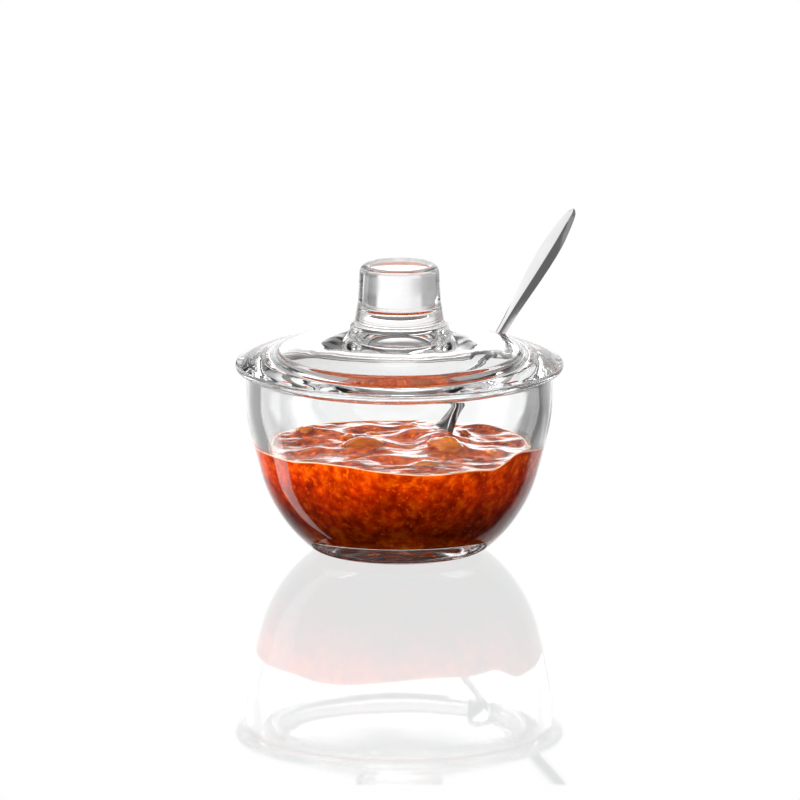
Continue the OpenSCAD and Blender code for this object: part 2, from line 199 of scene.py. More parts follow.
def lathe(bm, outline, shift):
    """Faces of an outline from axis to axis, turned round Z. shift moves a point a little, as real glass is uneven."""
    rows = []
    for point in outline:
        if point.x < ON_AXIS:
            rows.append([bm.verts.new(shift(Vector((0, 0, point.y))))])
        else:
            ring = [turned(360 * k / GLASS_SECTORS) * point.x for k in range(GLASS_SECTORS)]
            rows.append([bm.verts.new(shift(Vector((p.x, p.y, point.y)))) for p in ring])
    for low, high in zip(rows, rows[1:]):
        for k in range(GLASS_SECTORS):
            n = (k + 1) % GLASS_SECTORS
            if len(low) == 1:
                bm.faces.new((low[0], high[k], high[n]))
            elif len(high) == 1:
                bm.faces.new((low[k], high[0], low[n]))
            else:
                bm.faces.new((low[k], high[k], high[n], low[n]))


def unevenness(size, scale, seed):
    """A shift that moves points inwards and down by up to about size, over stretches of about scale."""
    offset = Vector((seed, 2 * seed, -seed))
    near_axis, near_table = 1, 0.5

    def shift(p):
        step = noise.noise_vector(p / scale + offset) * size
        radial = Vector((p.x, p.y, 0))
        if radial.length < near_axis:
            return p + Vector((0, 0, -abs(step.z)))
        drop = 0 if p.z < near_table else -abs(step.z) / 2
        return p - radial.normalized() * abs(step.x) + Vector((0, 0, drop))
    return shift


# Materials

def new_material(name):
    material = bpy.data.materials.new(name)
    material.use_nodes = True
    nodes = material.node_tree.nodes
    return material, nodes, material.node_tree.links, nodes["Principled BSDF"]


def object_coords(nodes):
    return nodes.new("ShaderNodeTexCoord").outputs["Object"]


def grey(value):
    return (value, value, value, 1)


def ramp(nodes, links, source, stops):
    """A colour ramp over source. A stop is a place and a colour, or a place and a grey."""
    node = nodes.new("ShaderNodeValToRGB")
    elements = node.color_ramp.elements
    while len(elements) < len(stops):
        elements.new(0.5)
    for element, stop in zip(elements, stops):
        element.position = stop[0]
    for element, (_, colour) in zip(elements, stops):
        element.color = (*colour, 1) if isinstance(colour, tuple) else grey(colour)
    links.new(source, node.inputs["Fac"])
    return node.outputs["Color"]


def map_range(nodes, links, value, low, high):
    """0 where value is low or less and 1 where it is high or more, even between."""
    node = nodes.new("ShaderNodeMapRange")
    node.inputs["From Min"].default_value = low
    node.inputs["From Max"].default_value = high
    links.new(value, node.inputs["Value"])
    return node.outputs["Result"]


def split_vector(nodes, links, vector):
    node = nodes.new("ShaderNodeSeparateXYZ")
    links.new(vector, node.inputs["Vector"])
    return node.outputs


def scaled(nodes, links, vector, scale):
    node = nodes.new("ShaderNodeMapping")
    node.inputs["Scale"].default_value = scale
    links.new(vector, node.inputs["Vector"])
    return node.outputs["Vector"]


def noise_texture(nodes, links, coords, **inputs):
    """A noise texture over coords, with its inputs' values by name."""
    node = nodes.new("ShaderNodeTexNoise")
    for name, value in inputs.items():
        node.inputs[name].default_value = value
    links.new(coords, node.inputs["Vector"])
    return node.outputs["Fac"]


def mixed(nodes, links, factor, a, b, blend="MIX"):
    """Colour a where factor is 0 and b where it is 1, or their blend. Each may be a socket or a value."""
    mix = nodes.new("ShaderNodeMix")
    mix.data_type = "RGBA"
    mix.blend_type = blend
    for name, value in (("Factor", factor), ("A", a), ("B", b)):
        socket = next(i for i in mix.inputs if i.name == name and i.enabled)
        if isinstance(value, bpy.types.NodeSocket):
            links.new(value, socket)
        else:
            socket.default_value = value
    return next(o for o in mix.outputs if o.enabled)


def bump(nodes, links, height, bsdf, strength, distance):
    """Small relief on a surface; distance is in metres."""
    node = nodes.new("ShaderNodeBump")
    node.inputs["Strength"].default_value = strength
    node.inputs["Distance"].default_value = distance
    links.new(height, node.inputs["Height"])
    links.new(node.outputs["Normal"], bsdf.inputs["Normal"])


def glass_material(name, wave_scale):
    """Clear pressed glass with faint waves and the lightest smudges."""
    material, nodes, links, bsdf = new_material(name)
    bsdf.inputs["Base Color"].default_value = (0.995, 1, 0.998, 1)
    bsdf.inputs["IOR"].default_value = 1.5
    bsdf.inputs["Transmission Weight"].default_value = 1
    coords = object_coords(nodes)
    smudge = noise_texture(nodes, links, coords, Scale=90, Detail=4, Roughness=0.6)
    links.new(ramp(nodes, links, smudge, [(0.45, 0), (0.8, 0.035)]), bsdf.inputs["Roughness"])
    waves = noise_texture(nodes, links, coords, Scale=wave_scale, Detail=1)
    bump(nodes, links, waves, bsdf, strength=0.06, distance=0.0005)
    return material


def steel_material():
    """Polished steel with fine hairlines."""
    material, nodes, links, bsdf = new_material("spoon_steel")
    bsdf.inputs["Metallic"].default_value = 1
    coords = object_coords(nodes)
    tone = noise_texture(nodes, links, coords, Scale=60, Detail=3)
    links.new(ramp(nodes, links, tone, [(0.3, 0.62), (0.7, 0.72)]), bsdf.inputs["Base Color"])
    hairs = noise_texture(nodes, links, scaled(nodes, links, coords, (1, 1, 0.05)), Scale=900, Detail=2)
    links.new(ramp(nodes, links, hairs, [(0.3, 0.07), (0.7, 0.16)]), bsdf.inputs["Roughness"])
    bump(nodes, links, hairs, bsdf, strength=0.05, distance=0.0001)
    return material


JAM_DEPTH = 26.5
# Light that meets jam from inside the glass is turned back where it comes in flat, most of all below
JAM_TO_GLASS = 0.955
JAM_FOOT_TO_GLASS = 0.88
# Colours of the pulp, by its noise: on the wet top, and against the glass. As painted light and shade, the wall's are
# set about twice as light as the top's
JAM_TOP_SHADED_COLOURS = [(0.36, (0.2, 0.014, 0.0002)), (0.48, (0.3, 0.036, 0.0003)), (0.66, (0.46, 0.09, 0.0004))]
JAM_WALL_LIT_COLOURS = [
    (0.36, (0.46, 0.02, 0.0004)), (0.47, (0.66, 0.036, 0.0005)), (0.56, (0.84, 0.06, 0.0006)),
    (0.68, (1, 0.13, 0.0015))]
JAM_BIT_COLOUR = (1, 0.14, 0.002, 1)
# Painted shade and light on the jam by its height, as a share of its depth: darkest low down, where less light
# reaches, lighter again at the very foot, brightest at the top
JAM_PAINTED_DEPTH_SHADE = [
    (0, (0.5, 0.9, 0.6)), (0.07, (0.26, 0.36, 0.2)), (0.16, (0.16, 0.2, 0.13)), (0.35, (0.27, 0.28, 0.2)),
    (0.57, (0.52, 0.5, 0.3)), (0.78, (0.86, 0.8, 0.45)), (1, (1.1, 1.5, 1.5))]


def jam_colour(nodes, links, coords, colours):
    """Orange-red jam full of pulp, with darker clouds and bright bits."""
    pulp = noise_texture(nodes, links, coords, Scale=330, Detail=6, Roughness=0.55)
    bits = noise_texture(nodes, links, coords, Scale=620, Detail=1)
    cloud = noise_texture(nodes, links, coords, Scale=110, Detail=4, Roughness=0.6)
    shade = ramp(nodes, links, cloud, [(0.36, (0.5, 0.42, 0.4)), (0.6, (1, 1, 1))])
    tone = mixed(nodes, links, 1, ramp(nodes, links, pulp, colours), shade, "MULTIPLY")
    return mixed(nodes, links, ramp(nodes, links, bits, [(0.61, 0), (0.7, 0.55)]), tone, JAM_BIT_COLOUR)


def jam_top_material():
    """The wet top of the jam, with ripples that lie across the view."""
    material, nodes, links, bsdf = new_material("jam_top")
    coords = object_coords(nodes)
    # Painted shade: the top's pulp colours are set darker than the wall's
    links.new(jam_colour(nodes, links, coords, JAM_TOP_SHADED_COLOURS), bsdf.inputs["Base Color"])
    bsdf.inputs["Roughness"].default_value = 0.07
    stretched = scaled(nodes, links, coords, (0.4, 1, 1))
    ripples = noise_texture(nodes, links, stretched, Scale=190, Detail=2, Distortion=0.6)
    bump(nodes, links, ripples, bsdf, strength=0.2, distance=0.001)
    return material


def jam_wall_material(name, to_glass):
    """Jam that lies against glass: matt where light comes in steep, a mirror where it comes in flat. Its colour
    carries painted shade that darkens it with depth.
    """
    material, nodes, links, bsdf = new_material(name)
    coords = object_coords(nodes)
    # Painted light: the wall's pulp colours are set lighter than the top's
    tone = jam_colour(nodes, links, coords, JAM_WALL_LIT_COLOURS)
    # Painted shade by height: the jam's colour darkens with depth and is brightest near the top
    depth = map_range(nodes, links, split_vector(nodes, links, coords)["Z"],
                      BOWL["floor"] * MM, (BOWL["floor"] + JAM_DEPTH) * MM)
    painted_depth_shade = ramp(nodes, links, depth, JAM_PAINTED_DEPTH_SHADE)
    links.new(mixed(nodes, links, 1, tone, painted_depth_shade, "MULTIPLY"), bsdf.inputs["Base Color"])
    bsdf.inputs["Roughness"].default_value = 0.6
    bsdf.inputs["Specular IOR Level"].default_value = 0
    total = nodes.new("ShaderNodeFresnel")
    total.inputs["IOR"].default_value = to_glass
    mirror = nodes.new("ShaderNodeBsdfGlossy")
    mirror.inputs["Roughness"].default_value = 0.02
    wall = nodes.new("ShaderNodeMixShader")
    links.new(total.outputs["Fac"], wall.inputs["Fac"])
    links.new(bsdf.outputs["BSDF"], wall.inputs[1])
    links.new(mirror.outputs["BSDF"], wall.inputs[2])
    links.new(wall.outputs["Shader"], nodes["Material Output"].inputs["Surface"])
    return material


def rim_material():
    """The thin film of jam that climbs the glass and shines as a pale line."""
    material, nodes, links, bsdf = new_material("jam_rim")
    film = noise_texture(nodes, links, object_coords(nodes), Scale=140, Detail=3)
    links.new(ramp(nodes, links, film, [(0.35, (0.8, 0.3, 0.1)), (0.5, (1, 0.66, 0.4))]), bsdf.inputs["Base Color"])
    bsdf.inputs["Roughness"].default_value = 0.3
    bump(nodes, links, film, bsdf, strength=0.1, distance=0.0002)
    return material


def fruit_material():
    """Pieces of fruit, translucent orange under a wet film of jam."""
    material, nodes, links, bsdf = new_material("fruit")
    flesh = noise_texture(nodes, links, object_coords(nodes), Scale=120, Detail=5)
    colours = [(0.32, (0.22, 0.036, 0.0004)), (0.5, (0.36, 0.09, 0.0005)), (0.68, (0.5, 0.16, 0.0008))]
    links.new(ramp(nodes, links, flesh, colours), bsdf.inputs["Base Color"])
    bsdf.inputs["Subsurface Weight"].default_value = 0.6
    bsdf.inputs["Subsurface Radius"].default_value = (1, 0.35, 0.12)
    bsdf.inputs["Subsurface Scale"].default_value = 0.005
    bsdf.inputs["Roughness"].default_value = 0.15
    bsdf.inputs["Coat Weight"].default_value = 0.5
    bsdf.inputs["Coat Roughness"].default_value = 0.03
    bump(nodes, links, flesh, bsdf, strength=0.2, distance=0.0006)
    return material


# Glass

def make_bowl():
    bm = bmesh.new()
    lathe(bm, refined(bowl_outline()), unevenness(*BOWL_WAVES))
    bowl = finish_mesh("bowl_glass", bm, glass_material("bowl_glass", 55))
    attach(bowl, "pot")
    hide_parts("bowl")


SLOT_END_STEP = 9
SLOT_CLEAR = 1e-3


def slot_span(r):
    """Half of the angle that the slot takes at radius r, in degrees. Its inner end is round."""
    half = SLOT["w"] / 2
    middle = SLOT_R + half
    if r <= SLOT_R + SLOT_CLEAR:
        return 0
    if r * r >= middle * middle + half * half:
        return math.degrees(math.asin(half / r))
    return math.degrees(math.acos(min(1, (r * r + middle * middle - half * half) / (2 * r * middle))))


def with_slot_points(outline):
    """The outline with more points where the slot's round end needs them."""
    half = SLOT["w"] / 2
    radii = [(Vector((SLOT_R + half, 0)) - half * turned(a)).length for a in range(0, 91, SLOT_END_STEP)]
    result = [outline[0]]
    for a, b in zip(outline, outline[1:]):
        low, high = min(a.x, b.x) + TINY, max(a.x, b.x) - TINY
        shares = sorted((r - a.x) / (b.x - a.x) for r in radii if low < r < high)
        result += [a.lerp(b, t) for t in shares] + [b]
    return result


def slotted_lathe(bm, outline, shift):
    """The lid: an outline turned round Z, open along the slot, with the slot's walls."""
    rows = []
    for point in outline:
        gap = slot_span(point.x)
        count = 1 if point.x < ON_AXIS else GLASS_SECTORS + int(gap > 0)
        ring = []
        for k in range(count):
            place = turned(SLOT["azimuth"] + gap + (360 - 2 * gap) * k / GLASS_SECTORS) * point.x
            ring.append(bm.verts.new(shift(Vector((place.x, place.y, point.y)))))
        rows.append(ring)
    for low, high in zip(rows, rows[1:]):
        for k in range(GLASS_SECTORS):
            corners = [low[k % len(low)], high[k % len(high)], high[(k + 1) % len(high)], low[(k + 1) % len(low)]]
            bm.faces.new(list(dict.fromkeys(corners)))
    cut = [i for i, point in enumerate(outline) if point.x >= SLOT_R - TINY]
    edge = max(cut, key=lambda i: outline[i].x)
    for end in (0, GLASS_SECTORS):
        top = [(outline[i].x, rows[i][end % len(rows[i])]) for i in cut if i <= edge]
        low = [(outline[i].x, rows[i][end % len(rows[i])]) for i in reversed(cut) if i >= edge]
        i = j = 0
        while i + 1 < len(top) or j + 1 < len(low):
            step_top = j + 1 == len(low) or (i + 1 < len(top) and top[i + 1][0] <= low[j + 1][0])
            corners = [top[i][1], low[j][1], top[i + 1][1] if step_top else low[j + 1][1]]
            if len(set(corners)) == 3:
                bm.faces.new(corners if end else corners[::-1])
            i, j = i + step_top, j + (not step_top)


def make_lid():
    bm = bmesh.new()
    slotted_lathe(bm, with_slot_points(refined(lid_outline())), unevenness(*LID_WAVES))
    lid = finish_mesh("lid_glass", bm, glass_material("lid_glass", 64))
    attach(lid, "cover")
    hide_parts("lid")


def between(table, x):
    """Smooth row of values at x from a table whose rows start with their own x."""
    i = max([j for j in range(len(table) - 1) if table[j][0] < x], default=0)
    a, b = table[i], table[i + 1]
    step = b[0] - a[0]
    t = (x - a[0]) / step

    def slope(j, c):
        low, high = table[max(j - 1, 0)], table[min(j + 1, len(table) - 1)]
        return (high[c] - low[c]) / (high[0] - low[0])
    return [a[c] * (1 + 2 * t) * (1 - t) ** 2 + b[c] * (3 - 2 * t) * t * t
            + slope(i, c) * step * t * (1 - t) ** 2 - slope(i + 1, c) * step * t * t * (1 - t)
            for c in range(len(a))]


# Jam

JAM = {"lump_h": 3.2, "contact": 0.1, "meniscus": 0.5, "climb_w": 2.6, "rim_w": 0.45}
# Lumps of the top: place and width as shares of the mouth's radius, and height as a share of lump_h
JAM_LUMPS = [
    (0.3, 0.2, 0.2, 1), (0.1, 0.38, 0.16, 0.5), (-0.26, 0.02, 0.24, 0.45), (-0.6, 0.3, 0.18, 0.5),
    (-0.1, -0.36, 0.2, 0.2), (-0.46, -0.4, 0.2, 0.26), (0.34, -0.2, 0.2, 0.65), (0.64, -0.06, 0.16, 0.3),
    (0.56, 0.5, 0.2, 0.35), (-0.24, 0.62, 0.2, 0.4)]
# Folds of the top: their spread across and along the view, their pattern and their height
JAM_FOLDS = [(15, 7, 1.7, 1.3), (6, 3.6, 5.1, 0.35)]
# Pieces of fruit: place as shares of the mouth's radius, size as a share of FRUIT_R, and how deep they sit
FRUIT_R = 8
FRUIT = [
    (-0.24, -0.11, 1, 0.1), (0.34, -0.2, 0.85, 0.1), (0.18, -0.58, 0.75, 0.2), (-0.36, 0.17, 0.4, 0.1),
    (-0.2, 0.36, 0.42, 0.1), (-0.68, 0.32, 0.5, 0.1), (0.46, 0.26, 0.4, 0.15), (0.66, -0.28, 0.5, 0.2),
    (-0.62, -0.22, 0.6, 0.35), (0.08, 0.66, 0.55, 0.2), (-0.3, -0.62, 0.6, 0.35)]
FRUIT_RISE = 0.2
FRUIT_FORM = (1, 0.8, 0.5)
FRUIT_TURN = 137.5
FRUIT_DENTS = {"depth": 0.3, "scale": 1.1, "fine_depth": 0.06, "fine_scale": 4}
JAM_SECTORS = 260
JAM_TOP_ROWS = 90
JAM_TOP_CROWDING = 1.25
JAM_SIDE_ROWS = 60
# Places of the jam's materials
TOP, WALL, RIM, FOOT = range(4)
# How far the jam stands above or below its level where it meets the glass, by the angle from the front
JAM_EDGE = [
    (-180, -0.7), (-130, -0.3), (-100, 0.3), (-69, 1.4), (-49, 1.4), (-37, 2.4), (-22, 2.2), (-12, 1.2), (0, 0.3),
    (10, -0.4), (21, -0.4), (33, 0), (44, -0.7), (50, 1), (56, 3.2), (66, 2.9), (80, 1.4), (95, 0), (130, -0.5),
    (180, -0.7)]


def jam_edge(x, y):
    """Rise of the jam at the wall, above its level, in the direction of x, y."""
    angle = math.degrees(math.atan2(x, -y))
    return between(JAM_EDGE, angle)[1] + JAM["meniscus"]


def jam_level(x, y):
    """Height of the jam's top, with folds and small lumps of pulp."""
    u, v = x / MOUTH_R, y / MOUTH_R
    lumps = sum(h * math.exp(-((u - a) ** 2 + (v - b) ** 2) / (w * w)) for a, b, w, h in JAM_LUMPS)
    folds = sum(noise.noise(Vector((x / across, y / along, layer))) * h for across, along, layer, h in JAM_FOLDS)
    return BOWL["floor"] + JAM_DEPTH + JAM["lump_h"] * lumps + folds


def jam_top(x, y):
    """The same with the jam drawn up round each piece of fruit."""
    rise = 0
    for u, v, share, _ in FRUIT:
        size = FRUIT_R * share
        d2 = (x - u * MOUTH_R) ** 2 + (y - v * MOUTH_R) ** 2
        rise += FRUIT_RISE * size * math.exp(-d2 / size ** 2)
    return jam_level(x, y) + rise


def jam_side():
    """The bowl's inside as the jam meets it: the height of its foot and two functions of the length along it."""
    wall = [Vector((0, BOWL["floor"] - JAM["contact"]))] + vessel(
        BOWL["wall"] - JAM["contact"], BOWL["floor"] - JAM["contact"], FLOOR_R)
    wall = refined(wall + [Vector((MOUTH_R + JAM["contact"], BOWL_H))])
    lengths = [0]
    for a, b in zip(wall, wall[1:]):
        lengths.append(lengths[-1] + (b - a).length)

    def at_length(s):
        i = max(j for j in range(len(wall) - 1) if lengths[j] <= s)
        return wall[i].lerp(wall[i + 1], (s - lengths[i]) / (lengths[i + 1] - lengths[i]))

    def length_at_height(h):
        i = max(j for j in range(len(wall) - 1) if wall[j].y <= h)
        return lengths[i] + (lengths[i + 1] - lengths[i]) * (h - wall[i].y) / (wall[i + 1].y - wall[i].y)
    return wall[0].y, at_length, length_at_height


def jam_column(way, at_length, length_at_height):
    """Points from the axis out over the top, over the film's edge and down the wall, in one direction."""
    edge_h = BOWL["floor"] + JAM_DEPTH + jam_edge(way.x, way.y)
    full = length_at_height(edge_h)
    reach = at_length(full).x
    climb = edge_h - jam_top(way.x * reach, way.y * reach)
    low = full - JAM["rim_w"]
    column = []
    for j in range(1, JAM_TOP_ROWS + 1):
        r = (reach - JAM["rim_w"]) * (1 - (1 - j / JAM_TOP_ROWS) ** JAM_TOP_CROWDING)
        height = jam_top(way.x * r, way.y * r) + climb * math.exp((r - reach) / JAM["climb_w"])
        column.append((r, height))
    column.append((reach, edge_h))
    for j in range(JAM_SIDE_ROWS, 0, -1):
        column.append(tuple(at_length(low * j / JAM_SIDE_ROWS)))
    return [Vector((way.x * r, way.y * r, h)) for r, h in column]


def make_jam():
    foot_h, at_length, length_at_height = jam_side()
    bm = bmesh.new()
    pole = bm.verts.new((0, 0, jam_top(0, 0)))
    foot = bm.verts.new((0, 0, foot_h))
    columns = []
    for k in range(JAM_SECTORS):
        column = jam_column(turned(360 * k / JAM_SECTORS), at_length, length_at_height)
        columns.append([bm.verts.new(p) for p in column])
    for k, column in enumerate(columns):
        other = columns[(k + 1) % JAM_SECTORS]
        bm.faces.new((pole, column[0], other[0]))
        bm.faces.new((foot, other[-1], column[-1])).material_index = FOOT
        for j in range(len(column) - 1):
            face = bm.faces.new((column[j], column[j + 1], other[j + 1], other[j]))
            if column[j].co.z < BOWL["floor"] + JAM["contact"]:
                face.material_index = FOOT
            elif j > JAM_TOP_ROWS:
                face.material_index = WALL
            elif j >= JAM_TOP_ROWS - 1:
                face.material_index = RIM
            else:
                face.material_index = TOP
    jam = finish_mesh("jam_body", bm, jam_top_material(), 60)
    jam.data.materials.append(jam_wall_material("jam_wall", JAM_TO_GLASS))
    jam.data.materials.append(rim_material())
    jam.data.materials.append(jam_wall_material("jam_foot", JAM_FOOT_TO_GLASS))
    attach(jam, "pot")
    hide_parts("jam")


def make_fruit():
    material = fruit_material()
    for i, (u, v, size_share, sunk) in enumerate(FRUIT):
        size = FRUIT_R * size_share
        x, y = u * MOUTH_R, v * MOUTH_R
        bm = bmesh.new()
        bmesh.ops.create_icosphere(bm, subdivisions=5, radius=1)
        for vert in bm.verts:
            p = vert.co.copy()
            dent = (1 + FRUIT_DENTS["depth"] * noise.noise(p * FRUIT_DENTS["scale"] + Vector((i, 0, 0)))
                    + FRUIT_DENTS["fine_depth"] * noise.noise(p * FRUIT_DENTS["fine_scale"] + Vector((0, i, 0))))
            vert.co = Vector(share * c for share, c in zip(FRUIT_FORM, p)) * size * dent
        turn = Matrix.Rotation(math.radians(FRUIT_TURN * i), 4, "Z")
        place = Matrix.Translation((x, y, jam_level(x, y) - sunk * size))
        bmesh.ops.transform(bm, matrix=place @ turn, verts=bm.verts)
        piece = finish_mesh(f"fruit_piece_{i + 1:02d}", bm, material)
        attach(piece, "pot")
        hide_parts("fruit_pieces")


# Spoon: its sections follow tables of shares along its length

SPOON = {"l": 139, "bowl_w": 28, "cup": 6, "t": 1.5, "neck_w": 4.4, "leaf_w": 8.6, "handle_t": 3.6,
         "in_slot": 6, "off_slot": 1, "tip_out": 15.2, "tip_turn": 204.2, "tip_h": 1.3,
         "ridge_power": 1.5, "ridge_at": -0.5}
# By the share of the length: shares of bowl_w, neck_w and leaf_w
SPOON_WIDTHS = [
    (0, 0.1, 0, 0), (0.01, 0.34, 0, 0), (0.044, 0.66, 0, 0), (0.089, 0.89, 0, 0), (0.146, 1, 0, 0),
    (0.204, 0.9, 0, 0), (0.257, 0.6, 0, 0), (0.312, 0.14, 1, 0), (0.384, 0.02, 1, 0), (0.47, 0, 1, 0),
    (0.598, 0, 0.98, 0), (0.654, 0, 0.5, 0.29), (0.697, 0, 0, 0.64), (0.788, 0, 0, 0.9), (0.852, 0, 0, 1),
    (0.894, 0, 0, 0.98), (0.926, 0, 0, 0.86), (0.958, 0, 0, 0.7), (0.979, 0, 0, 0.55),
    (0.991, 0, 0, 0.38), (1, 0, 0, 0.14)]
# By the share of the length: shares of cup and t, and of handle_t for the ridge in front and for the back
SPOON_DEPTHS = [
    (0, 0, 0.5, 0, 0.05), (0.044, 0.5, 1, 0, 0), (0.106, 0.92, 1, 0, 0), (0.16, 1, 1, 0, 0),
    (0.213, 0.8, 1, 0, 0), (0.266, 0.32, 1, 0.05, 0.1), (0.31, 0.06, 0.6, 0.25, 0.3),
    (0.355, 0, 0.3, 0.4, 0.42), (0.47, 0, 0, 0.48, 0.46), (0.841, 0, 0, 0.56, 0.44),
    (0.947, 0, 0, 0.42, 0.36), (1, 0, 0, 0.12, 0.12)]
SPOON_RINGS = 260
SPOON_SIDES = 40


def spoon_frame():
    """The tip, the axis, the direction of the width and the one that the hollow faces."""
    tip = Vector((*(SPOON["tip_out"] * turned(SLOT["azimuth"] + SPOON["tip_turn"])), BOWL["floor"] + SPOON["tip_h"]))
    slot = ((SLOT_R + SPOON["in_slot"]) * turned(SLOT["azimuth"])
            - SPOON["off_slot"] * turned(SLOT["azimuth"] + 90))
    axis = (Vector((*slot, BOWL_H)) - tip).normalized()
    side = Vector((-axis.y, axis.x, 0)).normalized()
    return tip, axis, side, axis.cross(side)


def spoon_section(share):
    """Points round the spoon at a share of its length, as the share of half its width, that half and the depth."""
    widths, depths = between(SPOON_WIDTHS, share), between(SPOON_DEPTHS, share)
    half_w = (widths[1] * SPOON["bowl_w"] + widths[2] * SPOON["neck_w"] + widths[3] * SPOON["leaf_w"]) / 2
    cup, metal = depths[1] * SPOON["cup"], depths[2] * SPOON["t"]
    ridge, back = depths[3] * SPOON["handle_t"], depths[4] * SPOON["handle_t"]
    for k in range(2 * SPOON_SIDES):
        front = k < SPOON_SIDES
        u = math.sin(math.pi / 2 * (1 - 2 * k / SPOON_SIDES if front else 2 * k / SPOON_SIDES - 3))
        bulge = 1 - u * u
        if front:
            off = u - SPOON["ridge_at"]
            depth = ridge * (1 - abs(off / (math.copysign(1, off) - SPOON["ridge_at"])) ** SPOON["ridge_power"])
            depth -= cup * bulge
        else:
            depth = -(cup + back) * bulge - metal * math.sqrt(max(0, bulge))
        yield u, half_w, depth


def make_spoon():
    tip, axis, side, face = spoon_frame()
    bm = bmesh.new()
    rings = []
    for i in range(SPOON_RINGS + 1):
        share = (1 - math.cos(math.pi * i / SPOON_RINGS)) / 2
        centre = tip + axis * share * SPOON["l"]
        rings.append([bm.verts.new(centre + side * half_w * u + face * depth)
                      for u, half_w, depth in spoon_section(share)])
    for low, high in zip(rings, rings[1:]):
        for k in range(2 * SPOON_SIDES):
            n = (k + 1) % (2 * SPOON_SIDES)
            bm.faces.new((low[k], high[k], high[n], low[n]))
    bm.faces.new(rings[0])
    bm.faces.new(rings[-1][::-1])
    spoon = finish_mesh("spoon_body", bm, steel_material(), 50)
    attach(spoon, "jam_spoon")
    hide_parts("spoon")


# Stage: a pale floor and a studio that is bright behind the pot and darker to its sides

CAMERA_ELEVATION = 12
CAMERA_DISTANCE = 8
PHOTO_WIDTH = 0.268
LOOK_AT = Vector((0.0002, 0, 0.0508))
SENSOR = 36
CAMERA_CLIP = (0.1, 40)


def make_camera():
    camera = bpy.data.objects.new("camera", bpy.data.cameras.new("camera"))
    bpy.context.scene.collection.objects.link(camera)
    e = math.radians(CAMERA_ELEVATION)
    back = Vector((0, -math.cos(e), math.sin(e)))
    camera.location = LOOK_AT + back * CAMERA_DISTANCE
    camera.rotation_euler = (-back).to_track_quat("-Z", "Y").to_euler()
    camera.data.sensor_width = SENSOR
    camera.data.lens = SENSOR * CAMERA_DISTANCE / PHOTO_WIDTH
    camera.data.clip_start, camera.data.clip_end = CAMERA_CLIP
    bpy.context.scene.camera = camera


# Brightness round the pot, by the angle from straight behind it in degrees, left negative, seen in the
# photograph's direction. Seen through the glass: of the table near the pot, and of everything further away
NEAR = [
    (-180, 0.5), (-110, 0.5), (-60, 0.4), (-45, 0.42), (-25, 0.42), (-20, 0.85), (-8, 0.95), (6, 1), (12, 1.02),
    (18, 1.08), (21, 1.05), (25, 0.32), (45, 0.15), (70, 0.2), (110, 0.4), (180, 0.5)]
FAR = [
    (-180, 0.15), (-112, 0.1), (-92, 0.7), (-80, 0.6), (-72, 0.04), (-58, 0.06), (-52, 0.38), (-37, 0.34), (-21, 0.5),
    (-10, 0.9), (0, 1.02), (6, 1.04), (12, 1.2), (17, 1.1), (24, 0.6), (31, 0.38), (43, 0.36), (52, 0.1),
    (60, 0.03), (70, 0.04), (76, 1), (92, 1), (112, 0.1), (180, 0.15)]
# The table's brightness close under the pot, and the distances, in metres, where each kind ends or starts
UNDER = 1
UNDER_END = 0.11
NEAR_END = 0.26
FAR_START = 0.38
# Reflected more than once, as by the table into the bowl: from low down, and from higher up
LOW = [
    (-180, 0.01), (-110, 0.02), (-85, 0.05), (-52, 0.1), (-38, 0.3), (-22, 1), (-8, 1.15), (8, 1.15), (22, 0.8),
    (40, 0.5), (46, 0.05), (110, 0.02), (180, 0.01)]
HIGH = [
    (-180, 0.01), (-110, 0.02), (-85, 0.05), (-52, 0.06), (-38, 0.15), (-22, 0.7), (-10, 1), (10, 1), (24, 0.9),
    (40, 0.8), (46, 0.05), (110, 0.02), (180, 0.01)]
TO_HIGH = [(0.24, 0), (0.36, 1)]
# And reflected once, as by the spoon, the lid and the table that the camera sees
DIRECT = [
    (-180, 0.18), (-92, 0.18), (-80, 1.1), (-22, 1.25), (-18, 0.08), (-13, 0.08), (-8, 1.15), (8, 1.15), (40, 0.9),
    (60, 0.3), (90, 0.3), (96, 0.9), (109, 0.9), (115, 0.18), (180, 0.18)]
DIRECT_HIGH = [
    (-180, 0.18), (-92, 0.18), (-80, 1.1), (-26, 1.25), (-20, 0.2), (30, 0.2), (60, 0.3), (90, 0.25), (96, 0.4),
    (116, 0.4), (122, 0.18), (180, 0.18)]
TO_DIRECT_HIGH = [(0.3, 0), (0.45, 1)]
# The soft box to the left: from the outer angle to the inner one, which moves in with the height, with soft edges
STRIP = {"light": 2.6, "outer": -52, "inner": -84.8, "lean": 0.524, "soft": 2}
REFLECTED_TWICE = 1.5
# Shares of the brightness by the sine of the height above the horizon, and a gain for what is seen through glass
THROUGH_GAIN = 3.2
RISE_THROUGH = [(0, 1), (0.2, 1), (0.28, 0.45), (0.4, 0.1), (0.6, 0.07), (1, 0.05)]
RISE_REFLECTED = [(0, 1), (0.4, 1), (0.62, 0.7), (0.8, 0.45), (0.88, 0)]
# Soft light on the jam: from the left, the front and above, and a little from everywhere
SOFT_FROM = (-0.78, -0.52, 0.35)
SOFT_POWER = 2
SOFT_GAIN = (6.8, 0.15)
AFTER_DIFFUSE = 0.5
BRIGHTEST = 4


WHITE_LEVEL = 0.995


def stage_math(nodes, links, operation, *values):
    node = nodes.new("ShaderNodeMath")
    node.operation = operation
    for socket, value in zip(node.inputs, values):
        if isinstance(value, bpy.types.NodeSocket):
            links.new(value, socket)
        else:
            socket.default_value = value
    return node.outputs["Value"]


def profile(nodes, links, direction, *tables):
    """Height and angle round the pot, and for each table its brightness there, as a share of BRIGHTEST."""
    split = split_vector(nodes, links, direction)
    angle = stage_math(nodes, links, "ARCTAN2", split["X"], split["Y"])
    share = stage_math(nodes, links, "MULTIPLY_ADD", angle, 1 / math.tau, 0.5)
    return split["Z"], angle, [
        ramp(nodes, links, share, [((a + 180) / 360, v / BRIGHTEST) for a, v in table]) for table in tables]


